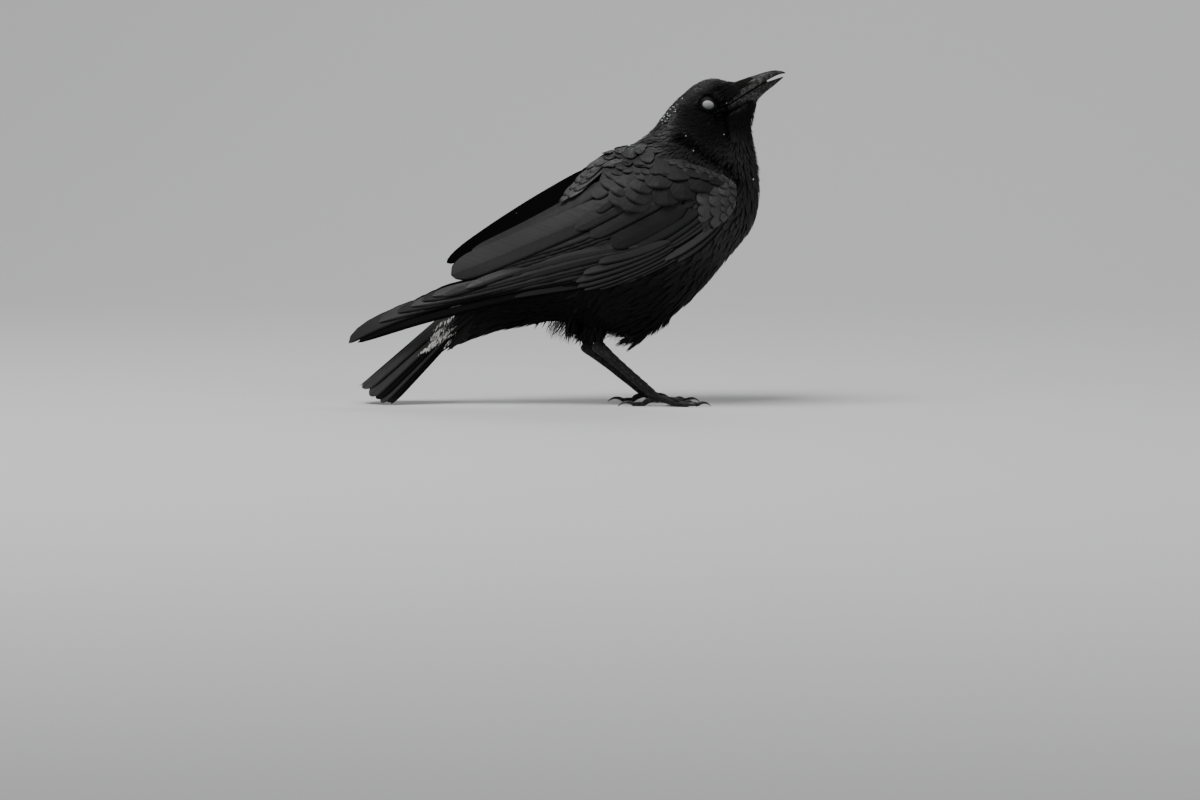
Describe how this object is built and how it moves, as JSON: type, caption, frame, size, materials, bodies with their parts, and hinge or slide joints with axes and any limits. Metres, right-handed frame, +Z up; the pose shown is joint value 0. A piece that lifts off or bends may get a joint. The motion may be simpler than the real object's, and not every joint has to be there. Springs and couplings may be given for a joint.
{
  "type": "crow",
  "caption": "Life-size still model of a standing crow with closed wings, drooping closed tail and its slightly open bill raised.",
  "frame": {"origin": "on the floor, under the middle of the bird's bounding box", "axes": "+X the way the bird faces, +Y its left side, +Z up"},
  "size_m": [0.3392, 0.106, 0.26],
  "materials": {
    "feather": "matte to softly glossy black plumage",
    "horn": "smooth black horn, worn satin on the bill",
    "leg_skin": "black scaled skin",
    "eye": "pale grey closed inner eyelid over a glossy eyeball"
  },
  "bodies": {
    "root": {"bill_lower": "horn", "bill_upper": "horn", "claw_left_hind": "horn", "claw_left_inner": "horn", "claw_left_middle": "horn", "claw_left_outer": "horn", "claw_right_hind": "horn", "claw_right_inner": "horn", "claw_right_middle": "horn", "claw_right_outer": "horn", "eye_left": "eye", "eye_right": "eye", "head": "feather", "neck": "feather", "tail": "feather", "tarsus_left": "leg_skin", "tarsus_right": "leg_skin", "thigh_left": "feather", "thigh_right": "feather", "toe_left_hind": "leg_skin", "toe_left_inner": "leg_skin", "toe_left_middle": "leg_skin", "toe_left_outer": "leg_skin", "toe_right_hind": "leg_skin", "toe_right_inner": "leg_skin", "toe_right_middle": "leg_skin", "toe_right_outer": "leg_skin", "trunk": "feather", "undertail_coverts": "feather", "wing_left_primaries": "feather", "wing_left_secondaries": "feather", "wing_left_shoulder": "feather", "wing_right_primaries": "feather", "wing_right_secondaries": "feather", "wing_right_shoulder": "feather"}
  },
  "joints": []
}
